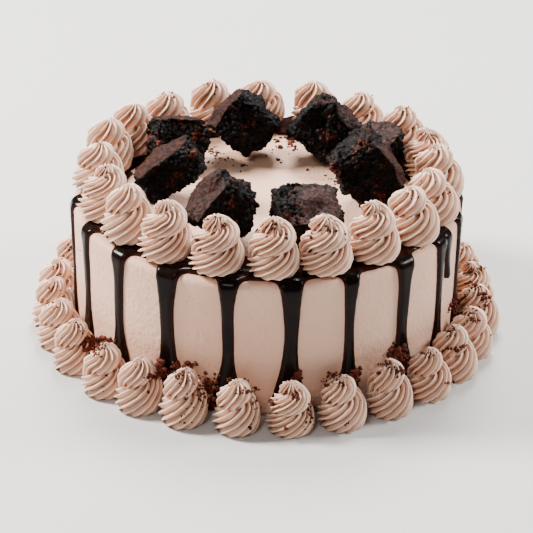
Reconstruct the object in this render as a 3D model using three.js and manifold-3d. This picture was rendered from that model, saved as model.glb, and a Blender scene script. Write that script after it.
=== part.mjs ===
// A round ice cream cake: a frosted body, a poured chocolate glaze that runs down the side in drips,
// a ring of piped swirls on the top edge, a second ring round the foot, and broken brownie chunks on top.
// Millimetres, +Z up. The origin is the centre of the flat underside; the front is towards -Y.
import * as THREE from 'three';
import Module from 'manifold-3d';
import { mergeVertices } from 'three/addons/utils/BufferGeometryUtils.js';

// ---- driving dimensions ----
const CAKE_RADIUS = 101.6;
const CAKE_HEIGHT = 72.5;
const EDGE_ROUND = 4;
const GAP = 0.3;
const GLAZE = 1.4;
const TOP_COUNT = 20;
const TOP_RING = 88.5;
const TOP_SWIRL_RADIUS = 13.9;
const TOP_SWIRL_HEIGHT = 27.5;
const FOOT_COUNT = 28;
const FOOT_RING = 114.4;
const FOOT_SWIRL_RADIUS = 12.4;
const FOOT_SWIRL_HEIGHT = 27;

const FULL_TURN = Math.PI * 2;
const rad = (degrees) => degrees * Math.PI / 180;

// Degrees by which each swirl strays from even spacing; the first one is at the front.
const TOP_START = 272;
const TOP_STRAY = [0, -1.5, -2, -1.5, -3, -3.5, -5, -4, -2, -1, 1, 1, 2, 1.5, 0, -1, 0.5, 0.5, 0, 0];
const FOOT_START = 263;
const FOOT_STRAY = [0, 0.7, 0.9, 1.2, 1.6, 1.2, 0, 0, 0.6, -0.5, 0.4, -0.8, 0.5, 0.8,
  -0.6, 0.3, 0.9, -0.4, -0.9, 0.6, 0, 2, 1.6, -0.7, -1, 0.6, -0.3, -0.6];

// Width of each drip half way down, and how far above the foot it ends. Drip i hangs left of swirl i + 1.
const DRIP_WIDTH = [7.8, 5.8, 7.6, 6, 6.6, 7, 5.6, 8, 6.4, 7.4, 5.8, 6.8, 7.8, 6.2,
  7.2, 6.4, 6.2, 6.5, 8.2, 6.4];
const DRIP_FOOT = [4, 4, 4, 4, 4, 22, 4, 14, 34, 4, 4, 26, 4, 4, 18, 4, 4, 4, 4, 4];
const DRIP_SHIFT = -3.2;
// One more drip, short, close beside its neighbour: its place in degrees, its width and where it ends.
const SHORT_DRIP = { angle: 334.6, width: 4.6, foot: 47 };

// Brownie chunks: place on the top, size across, deep and tall, then the turn about Z, X and Y in degrees.
const CHUNK_SINK = 2;
const BROWNIES = [
  { x: -13, y: 46.5, size: [33, 26, 30], turn: [5, -10, 42] },
  { x: 31, y: 43, size: [32, 27, 30], turn: [-8, -10, 38] },
  { x: -49, y: 33, size: [31, 23, 27], turn: [20, -22, 10] },
  { x: -51, y: -9, size: [37, 28, 22], turn: [12, -10, -33] },
  { x: -22, y: -54, size: [31, 26, 29], turn: [22, 0, -50] },
  { x: 20, y: -54, size: [36, 31, 22], turn: [10, 22, 3] },
  { x: 51, y: -13, size: [38, 31, 30], turn: [0, -5, 56] },
  { x: 59, y: 26, size: [26, 23, 27], turn: [-20, 15, 0] },
];

// ---- materials ----
const frosting = new THREE.MeshStandardMaterial({ color: 0xd8bca6, roughness: 0.55, metalness: 0 });
const sideFrosting = new THREE.MeshStandardMaterial({ color: 0xdccabb, roughness: 0.6, metalness: 0 });
const chocolate = new THREE.MeshStandardMaterial({ color: 0x2a1c1a, roughness: 0.2, metalness: 0 });
const brownieCrumb = new THREE.MeshStandardMaterial({ color: 0x241611, roughness: 0.85, metalness: 0 });

// ---- helpers ----
// Repeatable uneven numbers between -1 and 1.
function seeded(seed) {
  let state = seed * 2654435761 % 4294967296;
  return () => {
    state = (state * 1664525 + 1013904223) % 4294967296;
    return state / 2147483648 - 1;
  };
}

// A closed solid through rings of equal point count, with a fan to one point at either end.
function loft(rings, startPoint, endPoint) {
  const count = rings[0].length;
  const points = [startPoint, ...rings.flat(), endPoint];
  const last = points.length - 1;
  const faces = [];
  for (let j = 0; j < count; j++) {
    const next = (j + 1) % count;
    faces.push(0, 1 + next, 1 + j);
    for (let k = 0; k + 1 < rings.length; k++) {
      const low = 1 + k * count;
      const high = low + count;
      faces.push(low + j, low + next, high + next, low + j, high + next, high + j);
    }
    faces.push(last, last - count + j, last - count + next);
  }
  const geometry = new THREE.BufferGeometry();
  geometry.setAttribute('position', new THREE.Float32BufferAttribute(points.flatMap((p) => p.toArray()), 3));
  geometry.setIndex(faces);
  geometry.computeVertexNormals();
  return geometry;
}

// ---- the frosted body: upright side, rounded top edge ----
function bodyGeometry() {
  const arcSteps = 3;
  const profile = [new THREE.Vector2(0, 0), new THREE.Vector2(CAKE_RADIUS, 0)];
  for (let i = 0; i <= arcSteps; i++) {
    const angle = Math.PI / 2 * i / arcSteps;
    profile.push(new THREE.Vector2(
      CAKE_RADIUS - EDGE_ROUND * (1 - Math.cos(angle)),
      CAKE_HEIGHT - EDGE_ROUND * (1 - Math.sin(angle))));
  }
  profile.push(new THREE.Vector2(0, CAKE_HEIGHT));
  return new THREE.LatheGeometry(profile, 64).rotateX(Math.PI / 2);
}

// ---- a piped swirl: a wide coil, a smaller coil on it, and a pulled peak ----
// Each level gives the height, the radius, the depth of the ridges and how far they have turned as they rise.
const SWIRL_LEVELS = [
  { height: 0, radius: 0.84, depth: 0.1, turn: 0 },
  { height: 0.2, radius: 1, depth: 0.12, turn: 20 },
  { height: 0.41, radius: 0.87, depth: 0.1, turn: 44 },
  { height: 0.55, radius: 0.91, depth: 0.15, turn: 64 },
  { height: 0.83, radius: 0.57, depth: 0.22, turn: 110 },
];

function swirlGeometry({ radius, height, ridges, lean, random }) {
  const stretch = 1 + 0.04 * random();
  const breakTilt = 0.035 + 0.015 * random();
  const rings = SWIRL_LEVELS.map((level, index) => {
    const points = [];
    const shift = lean.clone().multiplyScalar(level.height ** 1.5);
    for (let j = 0; j < ridges * 2; j++) {
      const angle = j / (ridges * 2) * FULL_TURN + rad(level.turn);
      const groove = j % 2 === 0 ? 1 : 1 - level.depth;
      const r = radius * level.radius * groove;
      const slope = index === 0 ? 0 : breakTilt * Math.sin(angle) * height;
      points.push(new THREE.Vector3(
        r * stretch * Math.cos(angle) + shift.x,
        r / stretch * Math.sin(angle) + shift.y,
        level.height * height + slope));
    }
    return points;
  });
  return loft(rings, new THREE.Vector3(0, 0, 0), new THREE.Vector3(lean.x, lean.y, height));
}

// ---- a ring of swirls, each as wide as its neighbours leave room for ----
function swirlRing({ name, count, ring, start, stray, radius, height, ridges, baseZ, leanIn, seed }) {
  const random = seeded(seed);
  const angles = stray.map((degrees, i) => rad(start + 360 / count * i + degrees));
  const roomBetween = (i, j) => {
    const turn = Math.abs(Math.atan2(Math.sin(angles[i] - angles[j]), Math.cos(angles[i] - angles[j])));
    return 2 * ring * Math.sin(turn / 2) - GAP;
  };
  return angles.map((angle, i) => {
    const room = Math.min(roomBetween(i, (i + 1) % count), roomBetween(i, (i + count - 1) % count));
    const ownRadius = Math.min(radius, room / 2) / 1.055;
    const ownHeight = height * (1 + 0.05 * random());
    const lean = new THREE.Vector2(-leanIn + random(), 1.5 * random());
    const geometry = swirlGeometry({ radius: ownRadius, height: ownHeight, ridges, lean, random });
    const mesh = new THREE.Mesh(geometry, frosting);
    mesh.name = `${name}_${String(i + 1).padStart(2, '0')}`;
    mesh.position.set(ring * Math.cos(angle), ring * Math.sin(angle), baseZ);
    mesh.rotation.z = angle;
    return mesh;
  });
}

// ---- the glaze: a collar under the top swirls, joined to drips that run over the edge ----
// A point of the glaze, by its angle, how far it has run out and down from the drips' start, and its height.
const DRIP_START = 91;
const FLAT_RUN = CAKE_RADIUS - EDGE_ROUND - DRIP_START;
const ARC_RUN = (EDGE_ROUND + GAP) * Math.PI / 2;
function glazePoint(angle, run, rise) {
  const arc = Math.min(Math.max(run - FLAT_RUN, 0) / (EDGE_ROUND + GAP), Math.PI / 2);
  const flat = Math.min(run, FLAT_RUN);
  const drop = Math.max(run - FLAT_RUN - ARC_RUN, 0);
  const out = EDGE_ROUND + GAP + rise;
  const r = DRIP_START + flat + out * Math.sin(arc);
  const z = CAKE_HEIGHT - EDGE_ROUND + out * Math.cos(arc) - drop;
  return new THREE.Vector3(r * Math.cos(angle), r * Math.sin(angle), z);
}

// Stations of a drip: over the rounded edge by the turn in degrees, then down the side by the share
// of the way. Width and thickness are against the drip's own.
const DRIP_OVER_EDGE = [
  { turn: 0, width: 1.75, thick: 0.68 },
  { turn: 30, width: 1.7, thick: 0.8 },
  { turn: 60, width: 1.6, thick: 0.92 },
  { turn: 90, width: 1.45, thick: 1 },
];
const DRIP_DOWN_SIDE = [
  { share: 0.12, width: 1.14, thick: 0.95 },
  { share: 0.5, width: 0.94, thick: 0.85 },
];
// A drip that stops on the way ends in a bead; one that reaches the foot spreads there.
const DRIP_BEAD = [
  { share: 0.9, width: 1.08, thick: 0.72 },
  { share: 0.98, width: 0.7, thick: 0.5 },
];
const DRIP_SPREAD = [
  { share: 0.85, width: 1.1, thick: 0.6 },
  { share: 0.97, width: 1.75, thick: 0.36 },
];
const SPREAD_BELOW = 10;
const DRIP_THICKNESS = 2;

function dripGeometry(angle, width, footZ) {
  const sideStart = FLAT_RUN + ARC_RUN;
  const sideLength = CAKE_HEIGHT - EDGE_ROUND - footZ;
  const ending = footZ < SPREAD_BELOW ? DRIP_SPREAD : DRIP_BEAD;
  const stations = [
    { run: 0, width: 1.7, thick: 0.6 },
    ...DRIP_OVER_EDGE.map((s) => ({ ...s, run: FLAT_RUN + (EDGE_ROUND + GAP) * rad(s.turn) })),
    ...[...DRIP_DOWN_SIDE, ...ending].map((s) => ({ ...s, run: sideStart + s.share * sideLength })),
  ];
  const across = [[1, 0], [0.62, 0.8], [0, 1], [-0.62, 0.8], [-1, 0]];
  const rings = stations.map((station) => across.map(([side, rise]) => glazePoint(
    angle + side * station.width * width / 2 / CAKE_RADIUS,
    station.run,
    rise * station.thick * DRIP_THICKNESS)));
  return loft(rings, glazePoint(angle, 0, 0.3), glazePoint(angle, sideStart + sideLength, 0.3));
}

const COLLAR_INNER = 77;
const COLLAR_OUTER = 94.5;
function collarGeometry() {
  const steps = 64;
  const random = seeded(11);
  const section = [];
  const low = CAKE_HEIGHT + GAP;
  for (let i = 0; i < steps; i++) {
    const angle = i / steps * FULL_TURN;
    const wave = 0.7 * Math.sin(5 * angle) + 0.4 * random();
    const corner = (r, z) => new THREE.Vector3(r * Math.cos(angle), r * Math.sin(angle), low + z);
    section.push([
      corner(COLLAR_INNER + wave, 0),
      corner(COLLAR_OUTER + wave, 0),
      corner(COLLAR_OUTER + wave - 0.6, GLAZE),
      corner(COLLAR_INNER + wave + 0.6, GLAZE),
    ]);
  }
  const points = section.flat();
  const faces = [];
  for (let i = 0; i < steps; i++) {
    const here = i * 4;
    const there = (i + 1) % steps * 4;
    for (let k = 0; k < 4; k++) {
      const next = (k + 1) % 4;
      faces.push(here + k, there + next, here + next, here + k, there + k, there + next);
    }
  }
  const geometry = new THREE.BufferGeometry();
  geometry.setAttribute('position', new THREE.Float32BufferAttribute(points.flatMap((p) => p.toArray()), 3));
  geometry.setIndex(faces);
  return geometry;
}

const wasm = await Module();
wasm.setup();

function toManifold(geometry) {
  const bare = geometry.clone();
  bare.deleteAttribute('normal');
  bare.deleteAttribute('uv');
  const merged = mergeVertices(bare, 1e-4);
  return new wasm.Manifold(new wasm.Mesh({
    numProp: 3,
    vertProperties: new Float32Array(merged.attributes.position.array),
    triVerts: new Uint32Array(merged.index.array),
  }));
}

function fromManifold(solid) {
  const mesh = solid.getMesh();
  const geometry = new THREE.BufferGeometry();
  geometry.setAttribute('position', new THREE.Float32BufferAttribute(mesh.vertProperties, 3));
  geometry.setIndex(Array.from(mesh.triVerts));
  geometry.computeVertexNormals();
  return geometry;
}

function glazeGeometry(topAngles) {
  const drips = topAngles.map((angle, i) => {
    const next = topAngles[(i + 1) % topAngles.length];
    const between = angle + ((next - angle) % FULL_TURN + FULL_TURN) % FULL_TURN / 2;
    return dripGeometry(between + rad(DRIP_SHIFT), DRIP_WIDTH[i], DRIP_FOOT[i]);
  });
  drips.push(dripGeometry(rad(SHORT_DRIP.angle), SHORT_DRIP.width, SHORT_DRIP.foot));
  const collar = toManifold(collarGeometry());
  return fromManifold(drips.reduce((solid, drip) => solid.add(toManifold(drip)), collar));
}

// ---- brownie chunks: blocks with broken corners and craggy faces ----
function brownieGeometry(size, random) {
  const halfSize = new THREE.Vector3(...size).multiplyScalar(0.5);
  const bare = new THREE.BoxGeometry(2, 2, 2, 4, 4, 3);
  bare.deleteAttribute('normal');
  bare.deleteAttribute('uv');
  const geometry = mergeVertices(bare, 1e-4);
  const position = geometry.attributes.position;
  const point = new THREE.Vector3();
  for (let i = 0; i < position.count; i++) {
    point.fromBufferAttribute(position, i);
    const [x, y, z] = point.toArray().map(Math.abs);
    const cornered = (x * y + y * z + z * x) / 3;
    point.multiply(halfSize).multiplyScalar(1 - 0.2 * cornered + 0.05 * random());
    position.setXYZ(i, ...point);
  }
  return geometry;
}

// The chunk is turned, then flattened where it presses on the top, which leaves it a foot to stand on.
function brownieMesh({ x, y, size, turn }, index) {
  const geometry = brownieGeometry(size, seeded(40 + index));
  const [aboutZ, aboutX, aboutY] = turn.map(rad);
  const turned = new THREE.Euler(aboutX, aboutY, aboutZ, 'ZXY');
  geometry.applyMatrix4(new THREE.Matrix4().makeRotationFromEuler(turned));
  geometry.computeBoundingBox();
  const foot = geometry.boundingBox.min.z + CHUNK_SINK;
  const position = geometry.attributes.position;
  for (let i = 0; i < position.count; i++) {
    position.setZ(i, Math.max(position.getZ(i), foot));
  }
  geometry.computeVertexNormals();
  const mesh = new THREE.Mesh(geometry, brownieCrumb);
  mesh.name = `brownie_${index + 1}`;
  mesh.position.set(x, y, CAKE_HEIGHT + GAP - foot);
  return mesh;
}

// ---- the whole cake ----
const cake = new THREE.Group();

const body = new THREE.Mesh(bodyGeometry(), sideFrosting);
body.name = 'cake_body';
cake.add(body);

const topSwirls = swirlRing({
  name: 'top_swirl', count: TOP_COUNT, ring: TOP_RING, start: TOP_START, stray: TOP_STRAY,
  radius: TOP_SWIRL_RADIUS, height: TOP_SWIRL_HEIGHT, ridges: 10,
  baseZ: CAKE_HEIGHT + GAP + GLAZE + GAP, leanIn: 2.5, seed: 3,
});
cake.add(...topSwirls);

const footSwirls = swirlRing({
  name: 'foot_swirl', count: FOOT_COUNT, ring: FOOT_RING, start: FOOT_START, stray: FOOT_STRAY,
  radius: FOOT_SWIRL_RADIUS, height: FOOT_SWIRL_HEIGHT, ridges: 9,
  baseZ: 0, leanIn: 1.5, seed: 5,
});
cake.add(...footSwirls);

const glaze = new THREE.Mesh(glazeGeometry(topSwirls.map((mesh) => mesh.rotation.z)), chocolate);
glaze.name = 'chocolate_glaze';
cake.add(glaze);

cake.add(...BROWNIES.map(brownieMesh));

export default cake;
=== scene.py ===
import math
import random

import bmesh
import bpy
import numpy as np
from mathutils import Matrix, Vector, noise
from mathutils.bvhtree import BVHTree


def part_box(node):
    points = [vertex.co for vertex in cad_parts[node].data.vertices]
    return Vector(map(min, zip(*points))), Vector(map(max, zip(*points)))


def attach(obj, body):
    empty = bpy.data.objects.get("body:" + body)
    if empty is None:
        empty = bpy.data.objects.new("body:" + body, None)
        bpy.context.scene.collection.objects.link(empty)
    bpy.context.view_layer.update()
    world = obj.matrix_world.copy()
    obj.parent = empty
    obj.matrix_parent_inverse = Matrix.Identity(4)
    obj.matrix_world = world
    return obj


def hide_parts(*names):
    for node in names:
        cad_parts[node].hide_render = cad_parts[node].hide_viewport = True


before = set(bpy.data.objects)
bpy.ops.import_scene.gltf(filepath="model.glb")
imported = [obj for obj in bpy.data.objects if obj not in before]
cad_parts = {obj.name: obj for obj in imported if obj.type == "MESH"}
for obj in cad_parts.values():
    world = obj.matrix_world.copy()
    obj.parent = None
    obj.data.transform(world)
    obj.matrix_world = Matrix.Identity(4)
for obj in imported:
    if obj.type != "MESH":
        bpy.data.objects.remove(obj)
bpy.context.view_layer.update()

MM = 0.001
BODY = "root"
TOP_SWIRLS = sorted(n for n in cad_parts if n.startswith("top_swirl"))
FOOT_SWIRLS = sorted(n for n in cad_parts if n.startswith("foot_swirl"))
BROWNIES = sorted(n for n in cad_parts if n.startswith("brownie"))

# The body's sizes in millimetres: two from the frame, and the rounding of its top edge as in the solid.
BODY_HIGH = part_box("cake_body")[1]
CAKE_RADIUS = BODY_HIGH.x / MM
CAKE_HEIGHT = BODY_HIGH.z / MM
EDGE_ROUND = 4.0
# The photograph is this many pixels wide and high.
PHOTO = 533
# The upper end of a random phase, about one full turn.
FULL_PHASE = 6.28
# Vector noise starts from the clock unless it is given a seed.
NOISE_SEED = 11
noise.seed_set(NOISE_SEED)


# ---- helpers ----
def smooth(low, high, x):
    """0 below low, 1 above high, and an even S between."""
    t = max(0.0, min(1.0, (x - low) / (high - low)))
    return t * t * (3 - 2 * t)


def mix(a, b, t):
    return a + (b - a) * t


def add_piece(name, verts, faces, material, slot, *nodes):
    """A smooth mesh piece from points in millimetres, which stands for the given CAD nodes."""
    mesh = bpy.data.meshes.new(name)
    mesh.from_pydata([tuple(v * MM for v in p) for p in verts], [], faces)
    mesh.shade_smooth()
    mesh.materials.append(material)
    piece = bpy.data.objects.new(name, mesh)
    bpy.context.scene.collection.objects.link(piece)
    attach(piece, BODY)
    if nodes:
        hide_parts(*nodes)
    return piece


def add_attribute(piece, name, values):
    layer = piece.data.attributes.new(name, "FLOAT", "POINT")
    layer.data.foreach_set("value", np.array(values, dtype=np.float32))


# ---- materials ----
class Shader:
    """A small builder for a material's nodes."""

    def __init__(self, name, **principled):
        self.material = bpy.data.materials.new(name)
        self.material.use_nodes = True
        self.tree = self.material.node_tree
        self.bsdf = self.tree.nodes["Principled BSDF"]
        for key, value in principled.items():
            self.bsdf.inputs[key.replace("_", " ")].default_value = value
        self.place = self.node("ShaderNodeTexCoord").outputs["Object"]

    def node(self, kind, **settings):
        made = self.tree.nodes.new(kind)
        for key, value in settings.items():
            setattr(made, key, value)
        return made

    def link(self, source, target):
        self.tree.links.new(source, target)

    def noise(self, scale, detail=3.0, roughness=0.5, distortion=0.0):
        made = self.node("ShaderNodeTexNoise")
        made.inputs["Scale"].default_value = scale
        made.inputs["Detail"].default_value = detail
        made.inputs["Roughness"].default_value = roughness
        made.inputs["Distortion"].default_value = distortion
        self.link(self.place, made.inputs["Vector"])
        return made.outputs["Fac"]

    def voronoi(self, scale):
        made = self.node("ShaderNodeTexVoronoi")
        made.inputs["Scale"].default_value = scale
        self.link(self.place, made.inputs["Vector"])
        return made.outputs["Distance"]

    def specks(self, scale, low, high, patch_scale, patch_low, patch_high):
        """Small round specks, only where a broader noise is high."""
        dots = self.remap(self.voronoi(scale), low, high)
        rare = self.remap(self.noise(patch_scale, 1), patch_low, patch_high)
        return self.math("MULTIPLY", dots, rare)

    def remap(self, value, low, high, out_low=0.0, out_high=1.0):
        made = self.node("ShaderNodeMapRange", interpolation_type="SMOOTHSTEP")
        made.inputs["From Min"].default_value = low
        made.inputs["From Max"].default_value = high
        made.inputs["To Min"].default_value = out_low
        made.inputs["To Max"].default_value = out_high
        self.link(value, made.inputs["Value"])
        return made.outputs["Result"]

    def math(self, operation, a, b):
        made = self.node("ShaderNodeMath", operation=operation)
        for index, value in enumerate((a, b)):
            if isinstance(value, (int, float)):
                made.inputs[index].default_value = value
            else:
                self.link(value, made.inputs[index])
        return made.outputs["Value"]

    def blend(self, factor, a, b):
        made = self.node("ShaderNodeMix", data_type="RGBA")
        self.link(factor, made.inputs["Factor"])
        for key, value in (("A", a), ("B", b)):
            socket = next(s for s in made.inputs if s.name == key and s.type == "RGBA")
            if isinstance(value, tuple):
                socket.default_value = (*value, 1.0)
            else:
                self.link(value, socket)
        return next(s for s in made.outputs if s.type == "RGBA")

    def attribute(self, name):
        return self.node("ShaderNodeAttribute", attribute_name=name).outputs["Fac"]

    def bump(self, height, strength, distance, below=None):
        made = self.node("ShaderNodeBump")
        made.inputs["Strength"].default_value = strength
        made.inputs["Distance"].default_value = distance
        self.link(height, made.inputs["Height"])
        if below:
            self.link(below, made.inputs["Normal"])
        return made.outputs["Normal"]

    def finish(self, colour, roughness=None, normal=None):
        for key, value in (("Base Color", colour), ("Roughness", roughness), ("Normal", normal)):
            if value is not None:
                self.link(value, self.bsdf.inputs[key])
        return self.material


def piped_frosting():
    """Tan frosting with painted light on the crests and painted shade down the grooves, and a few dark
    specks.
    """
    s = Shader("piped_frosting_mat", Subsurface_Weight=0.05, Subsurface_Radius=(0.0008, 0.0005, 0.0003),
               Subsurface_Scale=1.0, Specular_IOR_Level=0.45)
    groove = s.attribute("groove")
    patches = s.remap(s.noise(45, 2), 0.35, 0.65)
    grain = s.noise(900, 3, 0.6)
    # Painted light and shade of the ridges: a light colour on the crests, a darker one on the flanks and the
    # darkest down the grooves, blended by the groove's depth.
    crest_painted_light = s.blend(patches, (0.860, 0.595, 0.450), (0.905, 0.650, 0.505))
    flank_painted_shade = s.blend(patches, (0.610, 0.355, 0.238), (0.660, 0.400, 0.278))
    groove_painted_shade = s.blend(patches, (0.330, 0.140, 0.080), (0.380, 0.170, 0.105))
    colour = s.blend(s.remap(groove, 0.0, 0.45), crest_painted_light, flank_painted_shade)
    colour = s.blend(s.remap(groove, 0.60, 1.0), colour, groove_painted_shade)
    colour = s.blend(s.specks(420, 0.10, 0.05, 160, 0.60, 0.63), colour, (0.20, 0.07, 0.035))
    roughness = s.remap(grain, 0.3, 0.7, 0.40, 0.54)
    return s.finish(colour, roughness, s.bump(grain, 0.25, 0.0003))


def cake_frosting():
    """The smoothed frosting of the side and top, with pores and pale brown specks."""
    s = Shader("cake_frosting_mat", Subsurface_Weight=0.05, Subsurface_Radius=(0.003, 0.0018, 0.0013),
               Subsurface_Scale=1.0, Specular_IOR_Level=0.30)
    broad = s.remap(s.noise(16, 3), 0.35, 0.68)
    fine = s.noise(400, 4, 0.62)
    colour = s.blend(broad, (0.690, 0.410, 0.285), (0.745, 0.470, 0.345))
    colour = s.blend(s.specks(330, 0.13, 0.05, 150, 0.55, 0.60), colour, (0.33, 0.18, 0.11))
    pores = s.remap(s.voronoi(210), 0.0, 0.16)
    lift = s.bump(fine, 0.60, 0.0012)
    normal = s.bump(pores, 0.35, 0.0004, lift)
    roughness = s.remap(fine, 0.3, 0.7, 0.50, 0.64)
    return s.finish(colour, roughness, normal)


def chocolate_glaze():
    """A near-black gloss, redder where it is thin: on the top and along its rim."""
    s = Shader("chocolate_glaze_mat", Specular_IOR_Level=0.07)
    patches = s.remap(s.noise(60, 3), 0.35, 0.7)
    colour = s.blend(patches, (0.0036, 0.0018, 0.0014), (0.0085, 0.0038, 0.0028))
    thin_on_top = s.math("MULTIPLY", s.attribute("top"), s.remap(s.noise(90, 2), 0.3, 0.6))
    colour = s.blend(thin_on_top, colour, (0.030, 0.0058, 0.0034))
    colour = s.blend(s.attribute("rim"), colour, (0.036, 0.0080, 0.0040))
    ripple = s.noise(120, 2)
    roughness = s.remap(s.noise(300, 3), 0.3, 0.7, 0.13, 0.25)
    return s.finish(colour, roughness, s.bump(ripple, 0.12, 0.0006))


def brownie():
    """Dark crumb with rust-red flecks, and a wrinkled crust between mauve and ruddy brown."""
    s = Shader("brownie_mat", Specular_IOR_Level=0.10)
    crust = s.attribute("crust")
    rust = s.attribute("rust")
    grain = s.noise(1100, 4, 0.65)
    dark = s.blend(s.remap(grain, 0.38, 0.75), (0.0009, 0.0006, 0.0006), (0.0055, 0.0032, 0.0027))
    red = s.blend(s.remap(s.noise(900, 2), 0.4, 0.65), (0.030, 0.006, 0.003), (0.135, 0.028, 0.010))
    crumb = s.blend(rust, dark, red)
    wrinkle = s.noise(260, 4, 0.6, distortion=1.5)
    mauve = s.blend(s.remap(wrinkle, 0.38, 0.68), (0.012, 0.0046, 0.0038), (0.058, 0.0235, 0.0195))
    ruddy = s.blend(s.remap(wrinkle, 0.38, 0.68), (0.011, 0.0031, 0.0020), (0.053, 0.0150, 0.0090))
    patches = s.math("SUBTRACT", s.math("MULTIPLY", s.noise(130, 3), 2.0), 1.0)
    skin = s.blend(s.remap(s.math("ADD", s.attribute("ruddiness"), patches), 0.25, 0.75), mauve, ruddy)
    skin = s.blend(s.remap(s.noise(420, 3), 0.56, 0.66), skin, dark)
    colour = s.blend(crust, crumb, skin)
    roughness = s.remap(grain, 0.3, 0.7, 0.36, 0.75)
    cells = s.voronoi(520)
    rough_bump = s.bump(s.math("ADD", grain, s.math("MULTIPLY", cells, 1.2)), 0.6, 0.0006)
    return s.finish(colour, roughness, s.bump(wrinkle, 0.30, 0.0006, rough_bump))


def crumbs():
    """Loose crumbs, each between dark brown and rust red."""
    s = Shader("crumbs_mat", Specular_IOR_Level=0.25)
    tone = s.attribute("rust")
    grain = s.noise(2200, 3)
    dark = s.blend(s.remap(grain, 0.35, 0.65), (0.0150, 0.0042, 0.0028), (0.0500, 0.0110, 0.0060))
    red = s.blend(s.remap(grain, 0.35, 0.65), (0.080, 0.0105, 0.0045), (0.165, 0.026, 0.0095))
    return s.finish(s.blend(tone, dark, red), s.remap(grain, 0.3, 0.7, 0.6, 0.9), s.bump(grain, 0.6, 0.0003))


PIPED = piped_frosting()
FROSTING = cake_frosting()
GLAZE = chocolate_glaze()
BROWNIE = brownie()
CRUMBS = crumbs()


# ---- the frosted body ----
# Its mesh: rows over the top, round the edge and down the side, and columns all round.
TOP_ROWS, ARC_ROWS, SIDE_ROWS, BODY_COLUMNS = 40, 8, 46, 360
# How far the smoothed frosting dips, in millimetres: broadly, in the strokes of the knife, and at the
# middle of the top. Within the radius STROKES_TURN the strokes are those of the top.
BROAD_DIP, STROKE_DIP, MIDDLE_DIP = 0.30, 0.16, 0.2
STROKES_TURN = 95


def body_profile():
    """Radius and height down the outline, from near the middle of the top to the foot of the side."""
    inner = CAKE_RADIUS - EDGE_ROUND
    points = [(inner * i / TOP_ROWS, CAKE_HEIGHT) for i in range(1, TOP_ROWS)]
    for i in range(ARC_ROWS + 1):
        a = math.pi / 2 * i / ARC_ROWS
        points.append((inner + EDGE_ROUND * math.sin(a), CAKE_HEIGHT - EDGE_ROUND * (1 - math.cos(a))))
    side = CAKE_HEIGHT - EDGE_ROUND
    points += [(CAKE_RADIUS, side * (1 - i / SIDE_ROWS)) for i in range(1, SIDE_ROWS + 1)]
    return points


def body_unevenness(x, y, z, r):
    """How far the smoothed frosting lies under its true surface, in millimetres."""
    around = Vector((x * 0.018, y * 0.018, z * 0.012))
    on_side = r > STROKES_TURN
    strokes = Vector((x * 0.05, y * 0.05, z * 0.30)) if on_side else Vector((x * 0.05, y * 0.16, 3.0))
    broad = 0.5 + 0.5 * noise.noise(around)
    stroke = 0.5 + 0.5 * noise.noise(strokes)
    return BROAD_DIP * broad + STROKE_DIP * stroke


def cake_body():
    columns = BODY_COLUMNS
    profile = body_profile()
    verts = []
    for r, z in profile:
        for j in range(columns):
            a = 2 * math.pi * j / columns
            x, y = r * math.cos(a), r * math.sin(a)
            under = body_unevenness(x, y, z, r)
            on_side = smooth(CAKE_HEIGHT, CAKE_HEIGHT - EDGE_ROUND, z)
            k = (r - under * on_side) / r
            verts.append((x * k, y * k, max(0.0, z - under * (1 - on_side))))
    faces = []
    for i in range(len(profile) - 1):
        for j in range(columns):
            k = (j + 1) % columns
            faces.append((i * columns + j, (i + 1) * columns + j, (i + 1) * columns + k, i * columns + k))
    top, bottom = len(verts), len(verts) + 1
    verts += [(0, 0, CAKE_HEIGHT - MIDDLE_DIP), (0, 0, 0)]
    low = (len(profile) - 1) * columns
    for j in range(columns):
        k = (j + 1) % columns
        faces += [(top, j, k), (bottom, low + k, low + j)]
    return add_piece("frosted_body", verts, faces, FROSTING, "cake_frosting", "cake_body")


# ---- piped swirls ----
# A tooth of the star nozzle: how far along the tooth, and how deep the groove is there.
TOOTH = [(0.0, 0.0), (0.12, 0.24), (0.30, 0.70), (0.5, 1.0), (0.70, 0.70), (0.88, 0.24)]
# The grooves' depth by the rope's half width, how much it varies, and how it grows as the swirl closes.
GROOVE_DEPTH, GROOVE_VARIETY, GROOVE_DEEPENS = 0.42, 0.12, 1.1
STEPS_PER_TURN = 38
# A swirl's outline: share of its height, and share of its radius there.
OUTLINE = [(0, 0.86), (0.1, 0.97), (0.22, 1.02), (0.38, 1.02), (0.52, 0.97), (0.66, 0.87), (0.79, 0.70),
           (0.88, 0.52), (0.95, 0.29), (1.0, 0.04)]
# How far a point that stands out of the outline is pressed back to it.
PRESS = 0.75
# The rope's half width in the foot's coil and in the upper one, by the swirl's radius.
FOOT_ROPE, UPPER_ROPE = 0.54, 0.51
# The turns over which the coil passes from the foot's to the upper one, and climbs on its own start.
NARROWS, CLIMBS = (0.6, 1.3), (0.8, 1.12)
# The rope starts as a blunt nub: the square of its size there, and the turns it grows by one in.
NUB_SHARE, NUB_TURN = 0.3, 0.08
# How much taller the rope is than the room between its turns.
OVERLAP = 1.2
# Where the closing dome ends and the pulled peak starts, as shares of the way up, and how wide they are.
DOME_TOP, PEAK_FROM = 0.95, 0.86
PEAK_WIDTH, TIP_WIDTH = 0.20, 0.012
# The height in millimetres for which a style's first_top and pitch are given.
STYLE_HEIGHT = 27
# Two scales of small unevenness: how fine it is, and how far it moves the surface in millimetres.
UNEVEN = ((0.3, 0.34), (1.1, 0.12))


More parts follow.
